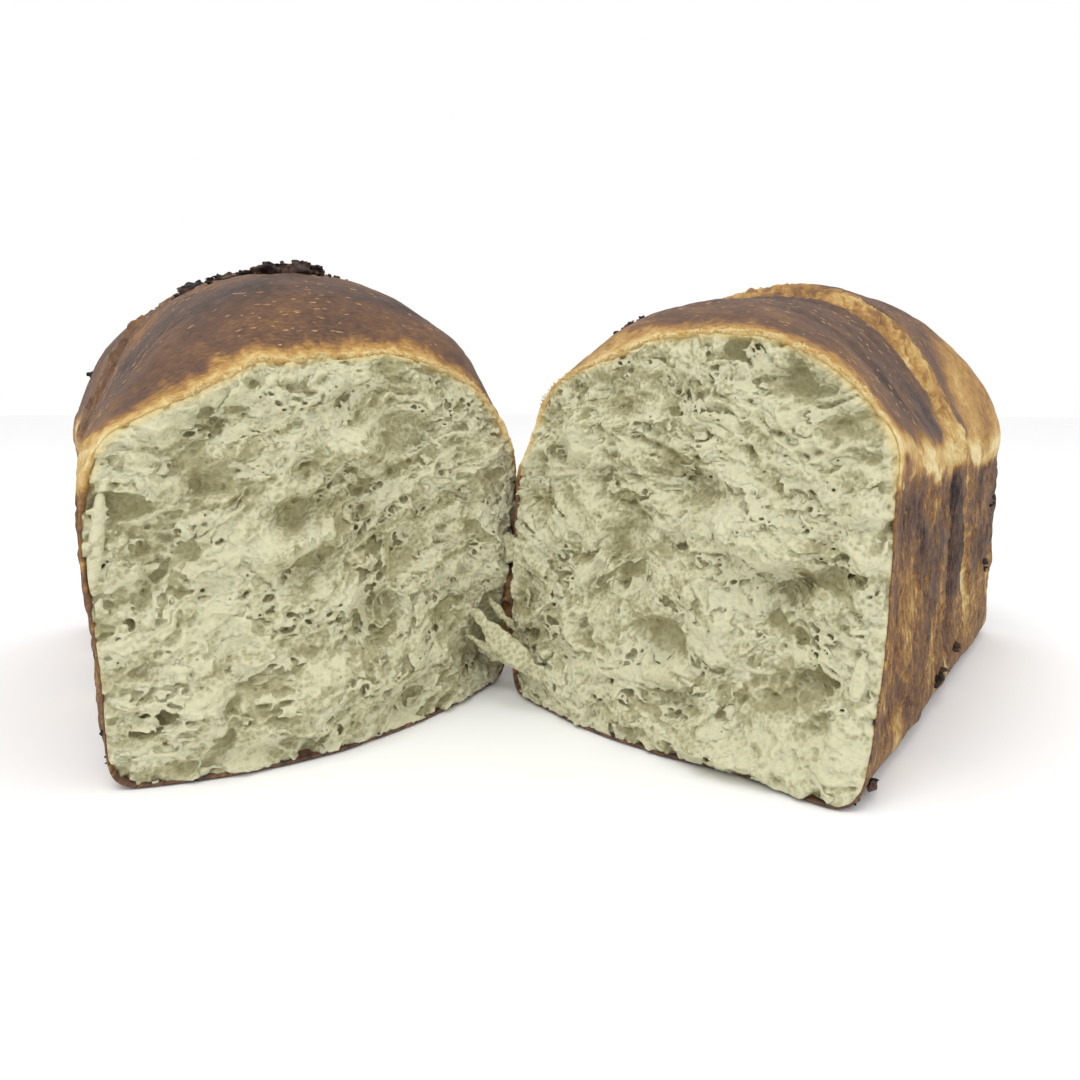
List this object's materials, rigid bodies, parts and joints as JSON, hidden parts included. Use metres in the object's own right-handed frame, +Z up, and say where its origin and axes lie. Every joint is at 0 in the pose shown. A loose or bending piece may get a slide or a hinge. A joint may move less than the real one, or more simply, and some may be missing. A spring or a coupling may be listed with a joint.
{
  "type": "tin loaf",
  "caption": "White tin loaf torn open by hand into two halves that still hang together at one side.",
  "frame": {"origin": "middle of the whole loaf's footprint on the table", "axes": "+X to the right along the row of the two halves, +Y away from the torn faces, +Z up"},
  "size_m": [0.3548, 0.1942, 0.1328],
  "materials": {
    "crust": "baked crust, dark brown and glossy on the crowns, golden at the seams, matte and rough on the tin-baked sides"
  },
  "bodies": {
    "root": {"loaf": "crust"}
  },
  "joints": []
}
